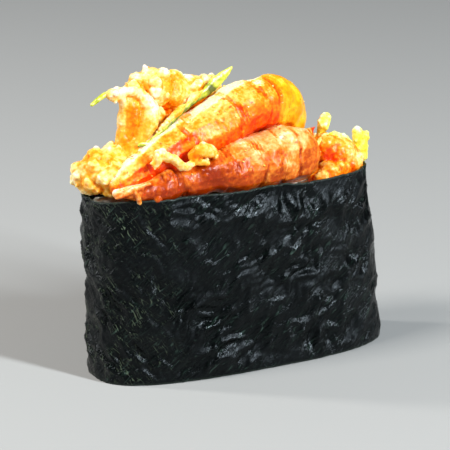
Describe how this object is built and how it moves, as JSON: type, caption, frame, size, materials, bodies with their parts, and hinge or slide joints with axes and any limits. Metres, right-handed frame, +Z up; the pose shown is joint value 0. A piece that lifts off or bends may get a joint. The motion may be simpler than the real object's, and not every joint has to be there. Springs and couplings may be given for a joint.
{
  "type": "gunkan sushi",
  "caption": "Block of sushi rice wrapped in a standing band of toasted nori, heaped with tempura shrimp, batter lumps and green stems",
  "frame": {"origin": "middle of the flat bottom, on the surface the sushi stands on", "axes": "+X runs along the length of the oblong, +Y points to the back, away from the side that the long front shrimp lies on, and +Z is up"},
  "size_m": [0.0595, 0.0232, 0.054],
  "materials": {
    "nori": "toasted seaweed sheet, near black with green, half gloss, crinkled",
    "rice": null,
    "fried_shrimp": null,
    "batter": null,
    "green_stem": null
  },
  "bodies": {
    "root": {"nori_band": "nori", "rice_block": "rice", "shrimp_front": "fried_shrimp", "shrimp_upper": "fried_shrimp", "shrimp_right": "fried_shrimp", "shrimp_back": "fried_shrimp", "lump_top": "batter", "lump_left": "batter", "lump_right": "batter", "lump_back": "batter", "curl_left": "batter", "batter_drip": "batter", "sprig_left": "batter", "sprig_right": "batter", "stem_long": "green_stem", "stem_thin": "green_stem"}
  },
  "joints": []
}
